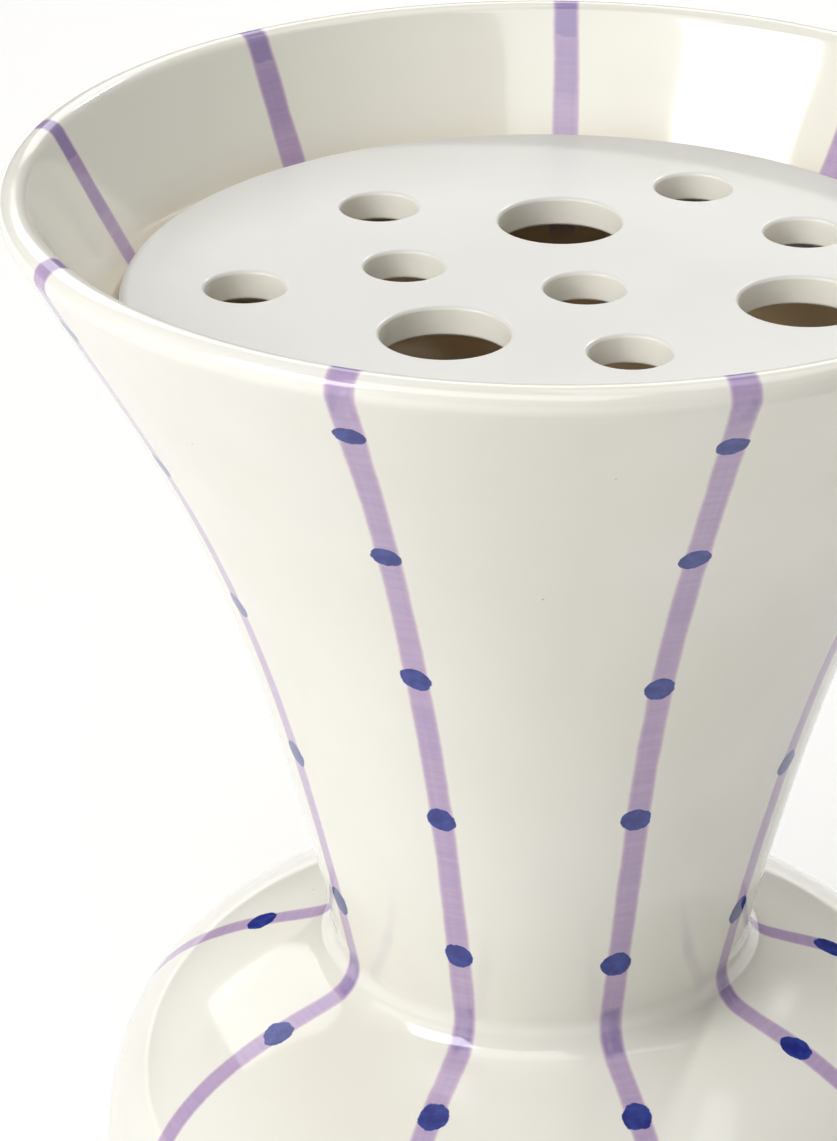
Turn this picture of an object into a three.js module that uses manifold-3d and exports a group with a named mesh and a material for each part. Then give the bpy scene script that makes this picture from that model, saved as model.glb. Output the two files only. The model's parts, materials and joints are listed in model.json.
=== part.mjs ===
// A trumpet-mouthed ceramic vase with its loose flower frog, the pierced disc that holds the stems.
// Millimetres, +Z up, origin at the centre of the foot's underside.
import * as THREE from "three";
import { mergeVertices } from "three/addons/utils/BufferGeometryUtils.js";
import Module from "manifold-3d";

const wasm = await Module();
wasm.setup();

// Heights of the vase's three parts, from the foot up.
const BELLY_HEIGHT = 45.7; // underside of the foot to the widest place
const SHOULDER_HEIGHT = 43; // widest place to the narrowest
const FLARE_HEIGHT = 116; // narrowest place to the centre of the round lip

const WALL = 4.6; // wall all over, and the thickness of the round lip
const FLOOR = 5.5; // floor above the foot recess

// The flare, from the lip down to the neck.
const MOUTH_RADIUS = 75; // outside of the lip
const LIP_SLOPE = 29; // degrees from the vertical just under the lip
const NECK_SLOPE = 12; // degrees from the vertical just above the neck
const NECK_RADIUS = 31.1; // narrowest outside radius
const NECK_FILLET = 5.6; // outside radius of the turn from the neck to the shoulder

// The bulb and the foot.
const SHOULDER_SLOPE = 17; // degrees that the shoulder falls from the horizontal beside the neck
const BULB_RADIUS = 66.5; // widest outside radius
const BELLY_SLOPE = 52; // degrees from the vertical where the belly meets the foot
const FOOT_RADIUS = 43; // outside of the foot ring
const FOOT_WIDTH = 6; // radial width of the ring that the vase stands on
const FOOT_HEIGHT = 3; // straight side of the foot ring
const FOOT_BEVEL = 0.8; // bevel of the foot ring's lower edge
const FOOT_RECESS = 2.5; // depth of the hollow inside the ring
const FLOOR_FILLET = 8; // inside turn from the wall to the floor

// The frog: a flat disc with its rim turned down, which rests on the flare where the flare is as wide.
const SEAT_DEPTH = 18.5; // from the centre of the lip down to where the rim meets the wall
const SEAT_HEIGHT = 2; // height of the sloping band that rests on the wall
const SEAT_GAP = 0.3; // clearance between that band and the wall
const FROG_EDGE_HEIGHT = 4.6; // straight side of the rim, from the band to the top face
const FROG_PLATE = 4.4; // thickness of the pierced plate
const FROG_RIM_WIDTH = 4.6; // radial width of the turned-down rim
const FROG_EDGE_ROUND = 1.4; // rounding of the upper outer edge
const LARGE_HOLE = 8.9; // radius of a hole for a thick stem
const SMALL_HOLE = 5.7; // radius of a hole for a thin stem
const HOLE_BEVEL = 0.5; // softened edge of each hole
const HOLE_WEB = 1; // least plate left between a hole's bevel and the rim

// Hole centres on the disc, each as [share of the way out to the last place that fits, degrees from +X].
const LARGE_HOLES = [[0.511, 86], [0.527, -126], [0.799, -10.6]];
const SMALL_HOLES = [
  [0.12, -28], [0.435, 167], [0.774, 132], [0.882, -175], [0.888, 60], [0.861, 27.6],
  [0.568, -66], [0.96, -122], [0.97, -57],
];

// Fineness of the faceted surfaces: segments round the axis, and steps along each curve.
const TURN_SEGMENTS = 40;
const CURVE_STEPS = { flare: 9, neck: 4, shoulder: 9, belly: 7 };
const LIP_STEPS = 8;
const EDGE_STEPS = 3;
const FLOOR_STEPS = 4;
const LARGE_HOLE_SEGMENTS = 24;
const SMALL_HOLE_SEGMENTS = 16;

const radians = THREE.MathUtils.degToRad;
const neckHeight = BELLY_HEIGHT + SHOULDER_HEIGHT;
const lipHeight = neckHeight + FLARE_HEIGHT;
const at = (radius, height) => new THREE.Vector2(radius, height);
const heading = (degrees) => at(Math.cos(radians(degrees)), Math.sin(radians(degrees)));
const along = (start, degrees, length) => start.clone().addScaledVector(heading(degrees), length);

// A smooth curve between two places, leaving and arriving at the given headings.
// The reaches are shares of the straight distance and set how long each heading is held.
function sweep(start, startHeading, startReach, end, endHeading, endReach) {
  const span = start.distanceTo(end);
  return new THREE.CubicBezierCurve(
    start,
    along(start, startHeading, startReach * span),
    along(end, endHeading, -endReach * span),
    end,
  );
}

// The middle of the wall, from the lip down the flare, round the neck, over the shoulder to the foot.
function wallCurves() {
  const lip = at(MOUTH_RADIUS - WALL / 2, lipHeight);
  const turnRadius = NECK_FILLET + WALL / 2;
  const turnCentre = at(NECK_RADIUS + NECK_FILLET, neckHeight);
  const neckTop = along(turnCentre, 180 - NECK_SLOPE, turnRadius);
  const neckFoot = along(turnCentre, 270 - SHOULDER_SLOPE, turnRadius);
  const widest = at(BULB_RADIUS - WALL / 2, BELLY_HEIGHT);
  const bellyFoot = along(at(FOOT_RADIUS, FOOT_HEIGHT), -BELLY_SLOPE, -WALL / 2);
  return {
    flare: sweep(lip, -90 - LIP_SLOPE, 0.3, neckTop, -90 - NECK_SLOPE, 0.58),
    neck: new THREE.EllipseCurve(
      turnCentre.x, turnCentre.y, turnRadius, turnRadius,
      radians(180 - NECK_SLOPE), radians(270 - SHOULDER_SLOPE), false,
    ),
    shoulder: sweep(neckFoot, -SHOULDER_SLOPE, 0.54, widest, -90, 0.45),
    belly: sweep(widest, -90, 0.4, bellyFoot, -90 - BELLY_SLOPE, 0.4),
  };
}

const wall = wallCurves();

// The place on one side of a wall curve: side +1 is outside, -1 inside.
function sideOf(curve, share, side) {
  const direction = curve.getTangent(share);
  const outward = at(-direction.y, direction.x);
  return curve.getPoint(share).addScaledVector(outward, (side * WALL) / 2);
}

// One side of the whole wall, from the lip down to the foot.
function wallSide(side) {
  const points = [sideOf(wall.flare, 0, side)];
  for (const [name, steps] of Object.entries(CURVE_STEPS)) {
    for (let step = 1; step <= steps; step++) points.push(sideOf(wall[name], step / steps, side));
  }
  return points;
}

// Points on an arc, both ends included.
function arc(centre, radius, fromDegrees, toDegrees, steps) {
  return Array.from({ length: steps + 1 }, (_, step) =>
    along(centre, fromDegrees + ((toDegrees - fromDegrees) * step) / steps, radius),
  );
}

// Where a rising function of one number reaches a value.
function solve(rising, value, low, high) {
  for (let round = 0; round < 50; round++) {
    const middle = (low + high) / 2;
    if (rising(middle) < value) low = middle;
    else high = middle;
  }
  return (low + high) / 2;
}

// Inside radius of the flare at a height above the foot.
function flareInside(height) {
  const share = solve((t) => -sideOf(wall.flare, t, -1).y, -height, 0, 1);
  return sideOf(wall.flare, share, -1).x;
}

// The inside of the wall as far as the floor, then the turn into the floor.
function insideDown() {
  const floorHeight = FOOT_RECESS + FLOOR;
  const straight = wallSide(-1).filter((p) => p.y > floorHeight + FLOOR_FILLET / 2);
  const [before, last] = straight.slice(-2);
  const direction = last.clone().sub(before).normalize();
  const corner = last.clone().addScaledVector(direction, (floorHeight - last.y) / direction.y);
  const turn = new THREE.QuadraticBezierCurve(last, corner, at(corner.x - FLOOR_FILLET, floorHeight));
  return [...straight, ...turn.getPoints(FLOOR_STEPS).slice(1), at(0, floorHeight)];
}

function vaseProfile() {
  const lip = arc(wall.flare.v0, WALL / 2, 180 - LIP_SLOPE, -LIP_SLOPE, LIP_STEPS);
  const foot = [
    at(FOOT_RADIUS, FOOT_BEVEL),
    at(FOOT_RADIUS - FOOT_BEVEL, 0),
    at(FOOT_RADIUS - FOOT_WIDTH, 0),
    at(FOOT_RADIUS - FOOT_WIDTH - FOOT_RECESS / 2, FOOT_RECESS),
    at(0, FOOT_RECESS),
  ];
  return [...insideDown().reverse(), ...lip.slice(1, -1), ...wallSide(1), ...foot];
}

// Largest radius that clears the wall at a height above the foot.
const clearRadius = (height) => flareInside(height) - SEAT_GAP / Math.cos(radians(LIP_SLOPE));

const seatTop = lipHeight - SEAT_DEPTH;
const frogRadius = clearRadius(seatTop);
const rimInside = frogRadius - FROG_RIM_WIDTH;
const frogTop = seatTop + FROG_EDGE_HEIGHT;
const frogUnder = frogTop - FROG_PLATE;

// The rim goes straight down until it meets the wall, then follows the wall for the seat band.
function frogProfile() {
  const seatFoot = seatTop - SEAT_HEIGHT;
  const edgeCentre = at(frogRadius - FROG_EDGE_ROUND, frogTop - FROG_EDGE_ROUND);
  return [
    at(0, frogTop),
    ...arc(edgeCentre, FROG_EDGE_ROUND, 90, 0, EDGE_STEPS),
    at(frogRadius, seatTop),
    at(clearRadius(seatFoot), seatFoot),
    at(rimInside, seatFoot),
    at(rimInside, frogUnder),
    at(0, frogUnder),
  ];
}

// Half of the section of a hole through the plate, with both of its edges bevelled.
function holeProfile(radius) {
  const past = 1;
  const mouth = radius + HOLE_BEVEL + past;
  return [
    at(0, frogTop + past),
    at(mouth, frogTop + past),
    at(radius, frogTop - HOLE_BEVEL),
    at(radius, frogUnder + HOLE_BEVEL),
    at(mouth, frogUnder - past),
    at(0, frogUnder - past),
  ];
}

// A profile turned about the Z axis. Profiles here start at their upper place on the axis and
// go round the outside to the lower one, and LatheGeometry faces outwards the other way round.
function turned(profile, segments) {
  return new THREE.LatheGeometry([...profile].reverse(), segments).rotateX(Math.PI / 2);
}

function solidOf(geometry) {
  const bare = geometry.clone();
  bare.deleteAttribute("normal");
  bare.deleteAttribute("uv");
  const merged = mergeVertices(bare, 1e-4);
  return new wasm.Manifold(
    new wasm.Mesh({
      numProp: 3,
      vertProperties: merged.attributes.position.array,
      triVerts: new Uint32Array(merged.index.array),
    }),
  );
}

function geometryOf(solid) {
  const mesh = solid.getMesh();
  const geometry = new THREE.BufferGeometry();
  geometry.setAttribute("position", new THREE.BufferAttribute(mesh.vertProperties, mesh.numProp));
  geometry.setIndex(new THREE.BufferAttribute(mesh.triVerts, 1));
  return geometry.toNonIndexed();
}

// Cuts one hole of the given radius at each of the places.
function drilled(plate, places, radius, segments) {
  const reach = rimInside - HOLE_WEB - HOLE_BEVEL - radius;
  return places.reduce((left, [share, degrees]) => {
    const centre = heading(degrees).multiplyScalar(share * reach);
    const cutter = turned(holeProfile(radius), segments).translate(centre.x, centre.y, 0);
    return left.subtract(solidOf(cutter));
  }, plate);
}

function frogGeometry() {
  const blank = solidOf(turned(frogProfile(), TURN_SEGMENTS));
  const withLarge = drilled(blank, LARGE_HOLES, LARGE_HOLE, LARGE_HOLE_SEGMENTS);
  return geometryOf(drilled(withLarge, SMALL_HOLES, SMALL_HOLE, SMALL_HOLE_SEGMENTS));
}

function piece(name, geometry, colour) {
  geometry.computeVertexNormals();
  const material = new THREE.MeshStandardMaterial({ color: colour, roughness: 0.18, metalness: 0 });
  const mesh = new THREE.Mesh(geometry, material);
  mesh.name = name;
  return mesh;
}

const vaseWithFrog = new THREE.Group();
vaseWithFrog.add(piece("vase_body", turned(vaseProfile(), TURN_SEGMENTS), 0xebe7db));
vaseWithFrog.add(piece("frog_disc", frogGeometry(), 0xe2e1dd));

export default vaseWithFrog;
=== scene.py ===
"""A glazed trumpet vase with hand-painted stripes and dots, and the loose frog in its mouth.

The vase's section is read off the CAD vase and turned again more finely. The frog is rebuilt from the
CAD disc and the record. The painting is laid out over the vase's surface, in metres.
"""

import json
import math

import bmesh
import bpy
from mathutils import Matrix, Vector
from mathutils.geometry import delaunay_2d_cdt


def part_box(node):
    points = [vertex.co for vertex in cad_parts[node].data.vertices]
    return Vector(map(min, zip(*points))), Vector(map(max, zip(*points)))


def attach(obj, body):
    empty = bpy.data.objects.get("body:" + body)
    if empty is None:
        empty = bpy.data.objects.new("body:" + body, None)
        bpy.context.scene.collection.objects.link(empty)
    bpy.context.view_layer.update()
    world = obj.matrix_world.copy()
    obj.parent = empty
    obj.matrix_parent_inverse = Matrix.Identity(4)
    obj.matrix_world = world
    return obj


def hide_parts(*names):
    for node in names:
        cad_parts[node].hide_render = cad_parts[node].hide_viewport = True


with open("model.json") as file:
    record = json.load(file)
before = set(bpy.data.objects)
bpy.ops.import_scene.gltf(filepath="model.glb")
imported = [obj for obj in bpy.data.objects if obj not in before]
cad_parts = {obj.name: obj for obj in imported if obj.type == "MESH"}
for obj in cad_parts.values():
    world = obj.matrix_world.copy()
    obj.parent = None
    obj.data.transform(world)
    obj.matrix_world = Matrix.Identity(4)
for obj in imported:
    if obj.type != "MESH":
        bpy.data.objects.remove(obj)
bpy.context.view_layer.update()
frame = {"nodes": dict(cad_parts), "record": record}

MM = 0.001
TAU = 2 * math.pi

# Fineness of the visual surfaces.
TURN_SEGMENTS = 216  # round the axis, a multiple of the number of stripes
STEP_LENGTH = 1.6 * MM  # longest step along the vase's section
STEP_TURN = math.radians(5)  # largest turn between two steps
HOLE_SEGMENTS = 56
ROUND_STEPS = 7

# The frog's parts that its outline doesn't give.
PLATE = 4.4 * MM
RIM_WIDTH = 4.6 * MM
SEAT_HEIGHT = 2.0 * MM
EDGE_ROUND = 1.5 * MM
FOOT_ROUND = 0.7 * MM  # inner lower edge of the turned-down rim
RIM_FILLET = 0.8 * MM  # turn from the rim to the plate's underside
SEAT_SOFTENING = 0.4 * MM
HOLE_ROUND = 0.55 * MM

# The painting, with distances measured over the surface from the top of the lip.
STRIPES = 9
STRIPE_PHASE = math.radians(88.3)
STRIPE_DRIFT = [0.0, 0.0, -0.6, 1.2, 2.0, 0.7, 0.7, -2.4, -0.6]  # degrees off the even spacing
STRIPE_WIDTH = 3.35 * MM
STRIPE_WANDER = 0.35 * MM
WANDER_RADIUS = 60 * MM  # where the wander has its stated size
SLOW_WAVE = 31  # radians per metre
QUICK_WAVE = 83
NECK_OVERLAP = 130 * MM
INSIDE_END = -36 * MM
OUTSIDE_END = 236 * MM
STRIPE_DENSITY = [0.4, 0.3, 0.5, 0.3, 0.0, 0.9, 1.0, 0.7, 0.4]
DOT_FIRST = 11.9 * MM
DOT_GAP = 24.6 * MM
DOT_STRETCH = 0.4 * MM  # growth of the gap from dot to dot
DOT_COUNT = 8
DOT_WIDTH = 4.45 * MM
DOT_HEIGHT = 3.4 * MM
DOT_GROWTH = 0.3 * MM  # growth of the height from dot to dot
DOT_SCATTER = 0.5 * MM
DOT_SIDESTEP = 0.25 * MM

# Finishes, as linear colours.
GLAZE = (0.80, 0.785, 0.72)
GLAZE_SHADE = (0.76, 0.74, 0.66)
# painted shade: a warmer, slightly darker tint for the inside of the mouth
INSIDE_SHADE_TINT = (0.80, 0.78, 0.695)
LILAC = (0.40, 0.29, 0.47)
LILAC_PALE = (0.47, 0.35, 0.53)
LILAC_DENSE = (0.33, 0.225, 0.375)
LILAC_BLUE = (0.33, 0.26, 0.50)
LILAC_DEEP = (0.215, 0.16, 0.375)
LILAC_EDGE = (0.56, 0.40, 0.52)
BLUE = (0.010, 0.018, 0.19)
BLUE_PALE = (0.024, 0.045, 0.28)
# painted shade: brown that stands in for the shade deep inside the vase, below the frog
DEEP_SHADE_BROWN = (0.66, 0.495, 0.295)
BISQUE = (0.62, 0.54, 0.44)
FROG_WHITE = (0.65, 0.645, 0.615)
FROG_SHADE = (0.625, 0.62, 0.585)
# painted light: lighter, warmer white for the frog's steep faces
FROG_WALL_PAINTED_LIGHT = (0.88, 0.86, 0.78)
SPECK = (0.35, 0.29, 0.20)

# The studio, in metres.
FLOOR_RADIUS = 8.0
FLOOR_SEGMENTS = 96
SURROUNDINGS = 0.09  # light that the surroundings give
BACKDROP = 0.85  # how bright they look behind the object, and the far floor with them
GLOW_START = 0.75  # distance where the floor starts to brighten
GLOW_END = 2.0
OBJECT_MIDDLE = Vector((0, 0, 0.12))
FLOOR_BEHIND = Vector((-0.35, 0.9, 0))
CAMERA_AT = Vector((0.0, -0.4786, 0.3868))
CAMERA_AIM = Vector((-0.0181, 0.0, 0.1456))
CAMERA_ROLL = -0.2
CAMERA_LENS = 117.9


# ---------------------------------------------------------------- sections


def cad_section(node):
    """The node's section in the half-plane y = 0, x >= 0, as (radius, height) points.

    It runs from the upper place on the axis round to the lower one.
    """
    solid = bmesh.new()
    solid.from_mesh(frame["nodes"][node].data)
    bmesh.ops.remove_doubles(solid, verts=solid.verts, dist=1e-6)
    inside_plane = {v for v in solid.verts if abs(v.co.y) < 1e-6 and v.co.x > -1e-6}
    here = max((v for v in inside_plane if v.co.x < 1e-6), key=lambda v: v.co.z)
    path = []
    while here is not None:
        path.append(here)
        around = (edge.other_vert(here) for edge in here.link_edges)
        ahead = [v for v in around if v in inside_plane and v not in path]
        here = ahead[0] if ahead else None
    section = [Vector((v.co.x, v.co.z)) for v in path]
    solid.free()
    return section


def turn_at(before, here, after):
    return (here - before).angle(after - here)


def spline_point(p0, p1, p2, p3, share):
    """Catmull-Rom point between p1 and p2, with the ends' pull scaled to the middle stretch."""
    middle = (p2 - p1).length
    pull1 = (p2 - p0) * (middle / ((p1 - p0).length + middle))
    pull2 = (p3 - p1) * (middle / ((p3 - p2).length + middle))
    a, b = share, 1 - share
    return (
        p1 * (b * b * (1 + 2 * a))
        + pull1 * (a * b * b)
        + p2 * (a * a * (1 + 2 * b))
        - pull2 * (a * a * b)
    )


def smooth_section(points, corner_turn=math.radians(35), soften=0.5 * MM):
    """A fine section through the CAD points: curves stay curves, and sharp corners are softened."""
    corners = {
        i
        for i in range(1, len(points) - 1)
        if turn_at(points[i - 1], points[i], points[i + 1]) > corner_turn
    }
    fine = [points[0]]
    for i in range(len(points) - 1):
        here, there = points[i], points[i + 1]
        before = points[i - 1] if i > 0 and i not in corners else here * 2 - there
        after = points[i + 2] if i + 2 < len(points) and i + 1 not in corners else there * 2 - here
        turning = turn_at(before, here, there) + turn_at(here, there, after)
        by_length = math.ceil((there - here).length / STEP_LENGTH)
        steps = max(1, by_length, math.ceil(turning / 2 / STEP_TURN))
        for step in range(1, steps + 1):
            fine.append(spline_point(before, here, there, after, step / steps))
    return softened(fine, corner_turn, soften)


def softened(points, corner_turn, radius):
    """Replaces each sharp corner of a section by a small round one."""
    result = [points[0]]
    for before, here, after in zip(points, points[1:], points[2:]):
        if turn_at(before, here, after) < corner_turn:
            result.append(here)
            continue
        start = here + (before - here).normalized() * min(radius, (before - here).length * 0.45)
        end = here + (after - here).normalized() * min(radius, (after - here).length * 0.45)
        for step in range(ROUND_STEPS + 1):
            a = step / ROUND_STEPS
            result.append(start * (1 - a) ** 2 + here * (2 * a * (1 - a)) + end * a * a)
    return result + [points[-1]]


def arc_lengths(points):
    lengths = [0.0]
    for a, b in zip(points, points[1:]):
        lengths.append(lengths[-1] + (b - a).length)
    return lengths


# ---------------------------------------------------------------- the vase


def stripe_centre(stripe, distance):
    """Angle of a stripe's middle at a distance from the lip: nearly straight, with a wander."""
    angle = STRIPE_PHASE + stripe * TAU / STRIPES + math.radians(STRIPE_DRIFT[stripe])
    slow = math.sin(distance * SLOW_WAVE + stripe * 2.1)
    quick = math.sin(distance * QUICK_WAVE + stripe * 4.7)
    return angle + (slow + 0.5 * quick) * STRIPE_WANDER / WANDER_RADIUS


def dot_places(stripe):
    """(offset across the stripe, distance from the lip, height) of each dot on a stripe."""
    places = []
    for dot in range(DOT_COUNT):
        turn = stripe * 2.4 + dot * 1.9
        across = DOT_SIDESTEP * math.sin(3.1 * turn)
        along = DOT_FIRST + dot * (DOT_GAP + dot * DOT_STRETCH) + DOT_SCATTER * math.sin(1.7 * turn)
        places.append((across, along, DOT_HEIGHT + dot * DOT_GROWTH))
    return places


def wrapped(angle):
    return (angle + math.pi) % TAU - math.pi


def vase_mesh(section):
    """The section turned about Z, with the painting's coordinates on its face corners."""
    vertices = [(0, 0, section[0].y)]
    steps = [0]
    for step, point in enumerate(section[1:-1], start=1):
        for turn in range(TURN_SEGMENTS):
            angle = TAU * turn / TURN_SEGMENTS
            vertices.append((point.x * math.cos(angle), point.x * math.sin(angle), point.y))
            steps.append(step)
    vertices.append((0, 0, section[-1].y))
    steps.append(len(section) - 1)
    last = len(vertices) - 1
    faces = []
    for turn in range(TURN_SEGMENTS):
        following = (turn + 1) % TURN_SEGMENTS
        faces.append((0, 1 + turn, 1 + following))
        for ring in range(len(section) - 3):
            first = 1 + ring * TURN_SEGMENTS
            second = first + TURN_SEGMENTS
            faces.append((first + turn, second + turn, second + following, first + following))
        faces.append((last, last - TURN_SEGMENTS + following, last - TURN_SEGMENTS + turn))
    mesh = bpy.data.meshes.new("vase")
    mesh.from_pydata(vertices, [], faces)
    mesh.shade_smooth()
    add_paint_coordinates(mesh, section, steps)
    return mesh


def add_paint_coordinates(mesh, section, steps):
    """Stores where each face corner lies on the painting.

    Map "stripe" holds (distance across from the stripe's middle, distance from the lip) in metres,
    map "dot" the place from the nearest dot's middle in half widths and half heights of that dot,
    "stroke" a number that differs by stripe and dot, and "density" how strong the colour is.
    """
    lengths = arc_lengths(section)
    lip = max(range(len(section)), key=lambda i: section[i].y)
    from_lip = [lengths[step] - lengths[lip] for step in steps]
    stripe_map = mesh.uv_layers.new(name="stripe")
    dot_map = mesh.uv_layers.new(name="dot")
    stroke = mesh.attributes.new("stroke", "FLOAT", "FACE")
    density = mesh.attributes.new("density", "FLOAT", "FACE")
    dots = [dot_places(stripe) for stripe in range(STRIPES)]
    for face in mesh.polygons:
        along = sum(from_lip[v] for v in face.vertices) / len(face.vertices)
        middle = math.atan2(face.center.y, face.center.x)
        stripe = min(range(STRIPES), key=lambda k: abs(wrapped(middle - stripe_centre(k, along))))
        dot = min(range(DOT_COUNT), key=lambda d: abs(dots[stripe][d][1] - along))
        stroke.data[face.index].value = stripe + dot / DOT_COUNT
        density.data[face.index].value = STRIPE_DENSITY[stripe]
        dot_across, dot_along, dot_height = dots[stripe][dot]
        for corner in face.loop_indices:
            vertex = mesh.loops[corner].vertex_index
            place = mesh.vertices[vertex].co
            distance = from_lip[vertex]
            angle = wrapped(math.atan2(place.y, place.x) - stripe_centre(stripe, distance))
            across = angle * place.xy.length
            stripe_map.data[corner].uv = (across, distance)
            wide = (across - dot_across) / (DOT_WIDTH / 2)
            tall = (distance - dot_along) / (dot_height / 2)
            dot_map.data[corner].uv = (wide, tall)


# ---------------------------------------------------------------- the frog


def stem_holes():
    """(centre, radius) of each hole, with centres from the record and radii from the CAD disc."""
    vertices = [v.co.xy for v in frame["nodes"]["frog_disc"].data.vertices]
    holes = []
    for opening in frame["record"]["physics"]["openings"]:
        if "_hole_" in opening["name"]:
            low, high = (Vector(corner[:2]) for corner in opening["box_m"])
            centre = (low + high) / 2
            holes.append((centre, min((v - centre).length for v in vertices)))
    return holes


def quarter(centre, radius, start, steps=ROUND_STEPS):
    """Quarter turn clockwise from a start angle: (point, normal) pairs in the section's plane."""
    turns = [math.radians(start - 90 * i / steps) for i in range(steps + 1)]
    normals = [Vector((math.cos(t), math.sin(t))) for t in turns]
    return [(centre + n * radius, n) for n in normals]


def frog_rim_section():
    """(point, normal) pairs from the edge of the top face, round the rim, to the underside."""
    low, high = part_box("frog_disc")
    radius, top, foot = high.x, high.z, low.z
    vertices = frame["nodes"]["frog_disc"].data.vertices
    seat = max(v.co.xy.length for v in vertices if v.co.z < foot + 1e-5)
    inside = radius - RIM_WIDTH
    slope = Vector((SEAT_HEIGHT, seat - radius)).normalized()
    pairs = quarter(Vector((radius - EDGE_ROUND, top - EDGE_ROUND)), EDGE_ROUND, 90)
    seat_top = Vector((radius, foot + SEAT_HEIGHT))
    seat_foot = Vector((seat, foot))
    pairs.append((seat_top + Vector((0, SEAT_SOFTENING)), Vector((1, 0))))
    down = (seat_foot - seat_top).normalized()
    pairs.append((seat_top + down * SEAT_SOFTENING, slope))
    pairs.append((seat_foot - down * FOOT_ROUND, slope))
    pairs.append((seat_foot - Vector((FOOT_ROUND, 0)), Vector((0, -1))))
    pairs += quarter(Vector((inside + FOOT_ROUND, foot + FOOT_ROUND)), FOOT_ROUND, -90)
    corner = Vector((inside - RIM_FILLET, top - PLATE - RIM_FILLET))
    for point, normal in reversed(quarter(corner, RIM_FILLET, 90)):
        pairs.append((point, -normal))
    return pairs


class Solid:
    """Collects vertices with their normals, and faces."""

    def __init__(self):
        self.vertices, self.normals, self.faces = [], [], []

    def ring(self, centre, point, normal, segments):
        """A circle of vertices about a vertical axis. Its section point is (radius, height)."""
        first = len(self.vertices)
        for step in range(segments):
            c, s = math.cos(TAU * step / segments), math.sin(TAU * step / segments)
            self.vertices.append((centre.x + point.x * c, centre.y + point.x * s, point.y))
            self.normals.append((normal.x * c, normal.x * s, normal.y))
        return list(range(first, first + segments))

    def bridge(self, upper, lower):
        """Faces between two rings, facing away from the axis when the first is the upper one."""
        for here in range(len(upper)):
            there = (here + 1) % len(upper)
            self.faces.append((upper[here], lower[here], lower[there], upper[there]))

    def flat(self, outline, holes, discs, upward):
        """Fills the flat face between an outline ring and hole rings around the given discs."""
        rings = [outline] + holes
        indices = [i for ring in rings for i in ring]
        place = {index: n for n, index in enumerate(indices)}
        edges = [(place[a], place[b]) for ring in rings for a, b in zip(ring, ring[1:] + ring[:1])]
        points = [Vector(self.vertices[i][:2]) for i in indices]
        triangles = delaunay_2d_cdt(points, edges, [], 0, 1e-9)[2]
        for triangle in triangles:
            middle = sum((points[i] for i in triangle), Vector((0, 0))) / 3
            if any((middle - centre).length < radius * 0.999 for centre, radius in discs):
                continue
            a, b, c = (points[i] for i in triangle)
            if ((b - a).cross(c - a) > 0) != upward:
                triangle = triangle[::-1]
            self.faces.append(tuple(indices[i] for i in triangle))

    def mesh(self, name):
        mesh = bpy.data.meshes.new(name)
        mesh.from_pydata(self.vertices, [], self.faces)
        mesh.shade_smooth()
        mesh.normals_split_custom_set_from_vertices(self.normals)
        return mesh


def frog_mesh():
    solid = Solid()
    axis = Vector((0, 0))
    rim = [solid.ring(axis, point, normal, TURN_SEGMENTS) for point, normal in frog_rim_section()]
    for upper, lower in zip(rim, rim[1:]):
        solid.bridge(upper, lower)
    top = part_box("frog_disc")[1].z
    under = top - PLATE
    mouths, feet, discs = [], [], []
    for centre, radius in stem_holes():
        wall = quarter(Vector((radius + HOLE_ROUND, top - HOLE_ROUND)), HOLE_ROUND, 180)
        wall = [(point, normal) for point, normal in reversed(wall)]
        foot = quarter(Vector((radius + HOLE_ROUND, under + HOLE_ROUND)), HOLE_ROUND, 270)
        wall += [(point, normal) for point, normal in reversed(foot)]
        rings = [solid.ring(centre, point, normal, HOLE_SEGMENTS) for point, normal in wall]
        for upper, lower in zip(rings, rings[1:]):
            solid.bridge(lower, upper)
        mouths.append(rings[0])
        feet.append(rings[-1])
        discs.append((centre, radius + HOLE_ROUND))
    solid.flat(rim[0], mouths, discs, upward=True)
    solid.flat(rim[-1], feet, discs, upward=False)
    return solid.mesh("frog")


# ---------------------------------------------------------------- finishes


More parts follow.
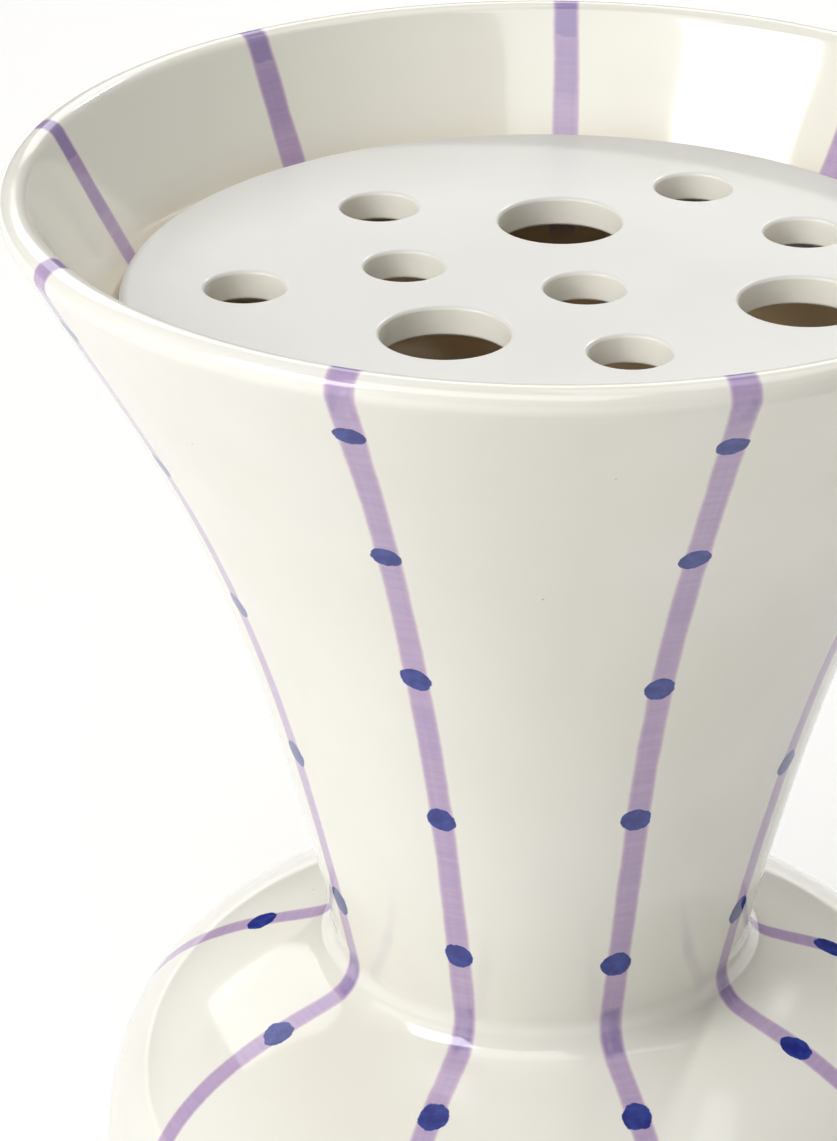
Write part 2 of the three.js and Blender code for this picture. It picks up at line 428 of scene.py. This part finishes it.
class Finish:
    """One material, with short names for adding nodes to it."""

    def __init__(self, name):
        self.material = bpy.data.materials.new(name)
        self.material.use_nodes = True
        self.tree = self.material.node_tree
        self.surface = self.tree.nodes["Principled BSDF"]

    def put(self, socket, value):
        if isinstance(value, bpy.types.NodeSocket):
            self.tree.links.new(value, socket)
        elif value is not None:
            socket.default_value = (*value, 1) if socket.type == "RGBA" else value

    def node(self, kind, values=(), **settings):
        node = self.tree.nodes.new("ShaderNode" + kind)
        for name, setting in settings.items():
            setattr(node, name, setting)
        for socket, value in zip(node.inputs, values):
            self.put(socket, value)
        return node

    def math(self, operation, *values):
        return self.node("Math", values, operation=operation).outputs[0]

    def times(self, a, b):
        return self.math("MULTIPLY", a, b)

    def plus(self, a, b):
        return self.math("ADD", a, b)

    def ease(self, value, start, end, low=0.0, high=1.0):
        """Runs smoothly from low at start to high at end."""
        values = (value, start, end, low, high)
        return self.node("MapRange", values, interpolation_type="SMOOTHSTEP").outputs[0]

    def noise(self, place, size, detail=2.0):
        """Noise from 0 to 1 with blotches about size metres across."""
        node = self.node("TexNoise", noise_dimensions="3D")
        self.put(node.inputs["Vector"], place)
        self.put(node.inputs["Scale"], 1 / size)
        self.put(node.inputs["Detail"], detail)
        return node.outputs[0]

    def blend(self, share, first, second):
        node = self.node("Mix", data_type="RGBA")
        self.put(node.inputs[0], share)
        self.put(node.inputs[6], first)
        self.put(node.inputs[7], second)
        return node.outputs[2]

    def place(self):
        return self.node("TexCoord").outputs["Object"]

    def split(self, vector):
        return self.node("SeparateXYZ", (vector,)).outputs

    def join(self, x, y, z):
        return self.node("CombineXYZ", (x, y, z)).outputs[0]

    def bump(self, height, depth, normal=None):
        """Relief of the given depth in metres for a height from 0 to 1."""
        node = self.node("Bump")
        self.put(node.inputs["Strength"], 1.0)
        self.put(node.inputs["Distance"], depth)
        self.put(node.inputs["Height"], height)
        self.put(node.inputs["Normal"], normal)
        return node.outputs[0]

    def set(self, **values):
        for name, value in values.items():
            self.put(self.surface.inputs[name.replace("_", " ")], value)


def stripe_shape(f, across, along, place):
    """(shape, reach): 1 on a brushed stripe and 0 beside it, and the uneven distance across it.

    The edge is soft, and the stripe is wider at the lip.
    """
    uneven = f.times(f.plus(f.noise(place, 9 * MM), -0.5), 0.5 * MM)
    fine = f.times(f.plus(f.noise(place, 0.9 * MM), -0.5), 0.14 * MM)
    reach = f.plus(f.math("ABSOLUTE", across), f.plus(uneven, fine))
    wider = f.ease(along, 30 * MM, -2 * MM, 0.0, 0.3 * MM)
    edge = f.math("SUBTRACT", reach, wider)
    shape = f.ease(edge, STRIPE_WIDTH / 2 + 0.3 * MM, STRIPE_WIDTH / 2 - 0.3 * MM)
    inside = f.ease(along, INSIDE_END - 2 * MM, INSIDE_END + 2 * MM)
    outside = f.ease(along, OUTSIDE_END + 2 * MM, OUTSIDE_END - 2 * MM)
    return f.times(shape, f.times(inside, outside)), edge


def chance(f, stroke, turn):
    """A number from 0 to 1 that differs from stripe to stripe."""
    stripe = f.math("FLOOR", stroke)
    node = f.node("TexWhiteNoise", noise_dimensions="1D")
    f.put(node.inputs["W"], f.plus(stripe, turn))
    return node.outputs[0]


def overlaps(f, across, along, edge, stroke, place):
    """1 where brush strokes ended on top of each other: inside the lip, below it and at the neck."""
    inset = f.ease(edge, STRIPE_WIDTH / 2 - 0.15 * MM, STRIPE_WIDTH / 2 - 0.45 * MM)
    rough = f.times(f.plus(f.noise(place, 1.6 * MM), -0.5), 1.2 * MM)
    level = f.plus(along, rough)
    end = f.plus(f.times(chance(f, stroke, 0.3), 3 * MM), -6.5 * MM)
    beyond_end = f.math("SUBTRACT", level, end)
    lip = f.times(f.ease(beyond_end, -0.25 * MM, 0.15 * MM), f.ease(level, 2.5 * MM, -1 * MM))
    below_lip = f.ease(f.math("ABSOLUTE", f.plus(level, 11 * MM)), 6 * MM, 3 * MM, 0.0, 0.35)
    blotched = f.noise(f.join(f.times(across, 420), f.times(along, 190), stroke), 1.0, 2)
    outside = f.times(f.ease(blotched, 0.44, 0.66, 0.0, 0.6), f.ease(along, 9 * MM, 6 * MM))
    outside = f.times(outside, f.ease(along, 1 * MM, 3 * MM))
    at_neck = f.ease(f.math("ABSOLUTE", f.plus(level, -NECK_OVERLAP)), 4.2 * MM, 3 * MM)
    neck = f.times(at_neck, f.ease(blotched, 0.35, 0.6, 0.3, 0.9))
    inside = f.math("MAXIMUM", f.times(lip, 0.75), below_lip)
    return f.times(inset, f.math("MAXIMUM", inside, f.math("MAXIMUM", outside, neck)))


def stripe_colour(f, across, along, edge, stroke, density, place):
    """Thin brushed colour: lengthwise streaks, fine bars across, and dark where strokes overlap."""
    lengthwise = f.join(f.times(across, 2200), f.times(along, 60), stroke)
    streak = f.noise(lengthwise, 1.6, 3)
    barred = f.join(f.times(across, 150), f.times(along, 1700), stroke)
    bar = f.noise(barred, 1.2)
    patchy = f.join(f.times(across, 130), f.times(along, 75), f.times(stroke, 7.3))
    patch = f.noise(patchy, 1.0, 1.5)
    thin = f.ease(f.plus(f.times(streak, 0.4), f.times(bar, 0.6)), 0.3, 0.72)
    colour = f.blend(thin, LILAC, LILAC_PALE)
    colour = f.blend(f.times(density, 0.85), colour, LILAC_DENSE)
    colour = f.blend(f.ease(patch, 0.5, 0.75, 0.0, 0.35), colour, LILAC_BLUE)
    overlap = overlaps(f, across, along, edge, stroke, place)
    colour = f.blend(f.times(overlap, 0.85), colour, LILAC_DEEP)
    rim = f.ease(edge, STRIPE_WIDTH / 2 - 0.7 * MM, STRIPE_WIDTH / 2 - 0.1 * MM)
    return f.blend(f.times(rim, 0.5), colour, LILAC_EDGE)


def dot_shape(f, place):
    """1 on a dot and 0 beside it, with a crisp, slightly angular outline."""
    wide, tall, _ = f.split(f.node("UVMap", uv_map="dot").outputs[0])
    reach = f.math("SQRT", f.plus(f.times(wide, wide), f.times(tall, tall)))
    uneven = f.times(f.plus(f.noise(place, 3 * MM, 1), -0.5), 0.5)
    ragged = f.times(f.plus(f.noise(place, 0.7 * MM, 1), -0.5), 0.16)
    return f.ease(f.plus(reach, f.plus(uneven, ragged)), 1.03, 0.95)


def glaze_colour(f, place, height, along):
    """(colour, bare): warm white with a few specks, a warmer painted shade tint inside the mouth,
    brown painted shade deep inside, and bare under the foot.
    """
    tone = f.ease(f.noise(place, 45 * MM, 3), 0.3, 0.7)
    colour = f.blend(tone, GLAZE, GLAZE_SHADE)
    # painted shade: the inside of the mouth is tinted warmer and a little darker
    colour = f.blend(f.ease(along, 1 * MM, -6 * MM), colour, INSIDE_SHADE_TINT)
    # painted shade: from about 11 mm inside the lip downwards the inside is painted ever browner
    depth = f.plus(along, f.times(f.noise(place, 20 * MM), 8 * MM))
    colour = f.blend(f.ease(depth, -11 * MM, -40 * MM), colour, DEEP_SHADE_BROWN)
    cell = f.node("TexVoronoi", (place,))
    f.put(cell.inputs["Scale"], 1 / (11 * MM))
    rare = f.math("GREATER_THAN", f.split(cell.outputs["Color"])[0], 0.72)
    speck = f.times(f.ease(cell.outputs["Distance"], 0.022, 0.012), rare)
    colour = f.blend(f.times(speck, 0.5), colour, SPECK)
    ring = f.plus(height, f.times(f.plus(f.noise(place, 4 * MM), -0.5), 0.6 * MM))
    bare = f.ease(ring, 1.5 * MM, 1.2 * MM)
    return f.blend(bare, colour, BISQUE), bare


def glazed_relief(f, place, paint):
    """Slow waviness of the clay under glaze, fine dimpling, and paint a little proud."""
    wavy = f.bump(f.noise(place, 28 * MM, 1), 0.35 * MM)
    dimpled = f.bump(f.noise(place, 2.2 * MM, 1), 0.006 * MM, wavy)
    return f.bump(paint, 0.02 * MM, dimpled)


def vase_finish():
    f = Finish("vase_glaze")
    place = f.place()
    height = f.split(place)[2]
    across, along, _ = f.split(f.node("UVMap", uv_map="stripe").outputs[0])
    stroke = f.node("Attribute", attribute_name="stroke").outputs["Fac"]
    stripe, edge = stripe_shape(f, across, along, place)
    dot = dot_shape(f, place)
    glaze, bare = glaze_colour(f, place, height, along)
    density = f.node("Attribute", attribute_name="density").outputs["Fac"]
    lilac = stripe_colour(f, across, along, edge, stroke, density, place)
    painted = f.blend(f.times(stripe, 0.95), glaze, lilac)
    blue = f.blend(f.ease(f.noise(place, 1.6 * MM), 0.35, 0.7), BLUE, BLUE_PALE)
    colour = f.blend(dot, painted, blue)
    gloss = f.ease(f.noise(place, 12 * MM), 0.3, 0.7, 0.07, 0.12)
    roughness = f.plus(gloss, f.times(bare, 0.6))
    relief = glazed_relief(f, place, f.math("MAXIMUM", dot, f.times(stripe, 0.3)))
    f.set(Base_Color=colour, Roughness=roughness, Normal=relief, IOR=1.5, Coat_Weight=0.25)
    f.set(Coat_Roughness=0.03, Coat_IOR=1.5)
    return f.material


def frog_finish():
    """Cooler white than the vase and less glossy; the steep faces are painted lighter and warmer, as
    painted light on the hole walls and the rim.
    """
    f = Finish("frog_glaze")
    place = f.place()
    tone = f.ease(f.noise(place, 30 * MM, 3), 0.3, 0.7)
    colour = f.blend(tone, FROG_WHITE, FROG_SHADE)
    upright = f.math("ABSOLUTE", f.split(f.node("TexCoord").outputs["Normal"])[2])
    # painted light: the steep faces, hole walls and rim, are painted lighter and warmer than the top
    colour = f.blend(f.ease(upright, 0.8, 0.2), colour, FROG_WALL_PAINTED_LIGHT)
    gloss = f.ease(f.noise(place, 9 * MM), 0.3, 0.7, 0.3, 0.4)
    f.set(Base_Color=colour, Roughness=gloss, IOR=1.48)
    return f.material


# ---------------------------------------------------------------- the scene


def add_piece(name, mesh, material, body, node):
    mesh.materials.append(material)
    piece = bpy.data.objects.new(name, mesh)
    bpy.context.scene.collection.objects.link(piece)
    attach(piece, body)
    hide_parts(node)


def add_floor():
    """A wide pale floor that glows, ever brighter far from the object, where it meets the pale
    backdrop: painted light.
    """
    turns = [TAU * step / FLOOR_SEGMENTS for step in range(FLOOR_SEGMENTS)]
    rim = [(FLOOR_RADIUS * math.cos(turn), FLOOR_RADIUS * math.sin(turn), 0) for turn in turns]
    mesh = bpy.data.meshes.new("floor")
    mesh.from_pydata(rim, [], [tuple(range(FLOOR_SEGMENTS))])
    f = Finish("floor")
    place = f.place()
    tone = f.ease(f.noise(place, 0.6), 0.3, 0.7)
    away = f.node("VectorMath", (place,), operation="LENGTH").outputs["Value"]
    # painted light: the floor glows, more the farther it is from the object
    glow = f.ease(away, GLOW_START, GLOW_END, 0.0, BACKDROP)
    f.set(Base_Color=f.blend(tone, (0.90, 0.895, 0.88), (0.89, 0.885, 0.87)), Roughness=0.7)
    f.set(Emission_Color=(1, 0.99, 0.97), Emission_Strength=glow)
    mesh.materials.append(f.material)
    floor = bpy.data.objects.new("floor", mesh)
    bpy.context.scene.collection.objects.link(floor)


def add_softbox(name, azimuth, elevation, distance, size, power, aim=OBJECT_MIDDLE):
    """A rectangular light at a bearing from the place that it faces."""
    light = bpy.data.lights.new(name, "AREA")
    light.shape = "RECTANGLE"
    light.size, light.size_y = size
    light.energy = power
    lamp = bpy.data.objects.new(name, light)
    a, e = math.radians(azimuth), math.radians(elevation)
    away = Vector((math.cos(a) * math.cos(e), math.sin(a) * math.cos(e), math.sin(e)))
    lamp.location = aim + away * distance
    lamp.rotation_euler = away.to_track_quat("Z", "Y").to_euler()
    bpy.context.scene.collection.objects.link(lamp)


def add_surroundings():
    """A pale backdrop that gives only a little light."""
    world = bpy.data.worlds.new("studio")
    world.use_nodes = True
    nodes, links = world.node_tree.nodes, world.node_tree.links
    background = nodes["Background"]
    background.inputs["Color"].default_value = (1, 0.98, 0.94, 1)
    strength = nodes.new("ShaderNodeMapRange")
    for socket, value in zip(strength.inputs[1:], (0.0, 1.0, SURROUNDINGS, BACKDROP)):
        socket.default_value = value
    seen_directly = nodes.new("ShaderNodeLightPath").outputs["Is Camera Ray"]
    links.new(seen_directly, strength.inputs[0])
    links.new(strength.outputs[0], background.inputs["Strength"])
    bpy.context.scene.world = world


def add_camera():
    camera = bpy.data.objects.new("camera", bpy.data.cameras.new("camera"))
    camera.data.lens = CAMERA_LENS
    camera.data.sensor_width = 36
    camera.data.clip_start = 0.01
    turn = (CAMERA_AIM - CAMERA_AT).to_track_quat("-Z", "Y").to_matrix().to_4x4()
    roll = Matrix.Rotation(math.radians(CAMERA_ROLL), 4, "Z")
    camera.matrix_world = Matrix.Translation(CAMERA_AT) @ turn @ roll
    bpy.context.scene.collection.objects.link(camera)
    bpy.context.scene.camera = camera


add_piece("vase", vase_mesh(smooth_section(cad_section("vase_body"))), vase_finish(),
          "vase", "vase_body")
add_piece("frog", frog_mesh(), frog_finish(), "frog", "frog_disc")
add_floor()
add_surroundings()
add_softbox("window", -145, 36, 1.7, (0.85, 0.66), 16)
add_softbox("front_left", -152, 15, 1.5, (1.6, 0.5), 3.2)
add_softbox("front_top", -105, 58, 1.6, (1.2, 0.9), 8.6)
add_softbox("top", 10, 74, 1.9, (1.2, 1.0), 5.5)
add_softbox("behind", 95, 60, 1.5, (2.2, 1.0), 14, FLOOR_BEHIND)
add_softbox("back_right", 62, 38, 1.8, (0.12, 0.09), 10)
add_camera()
bpy.context.scene.view_settings.view_transform = "Standard"
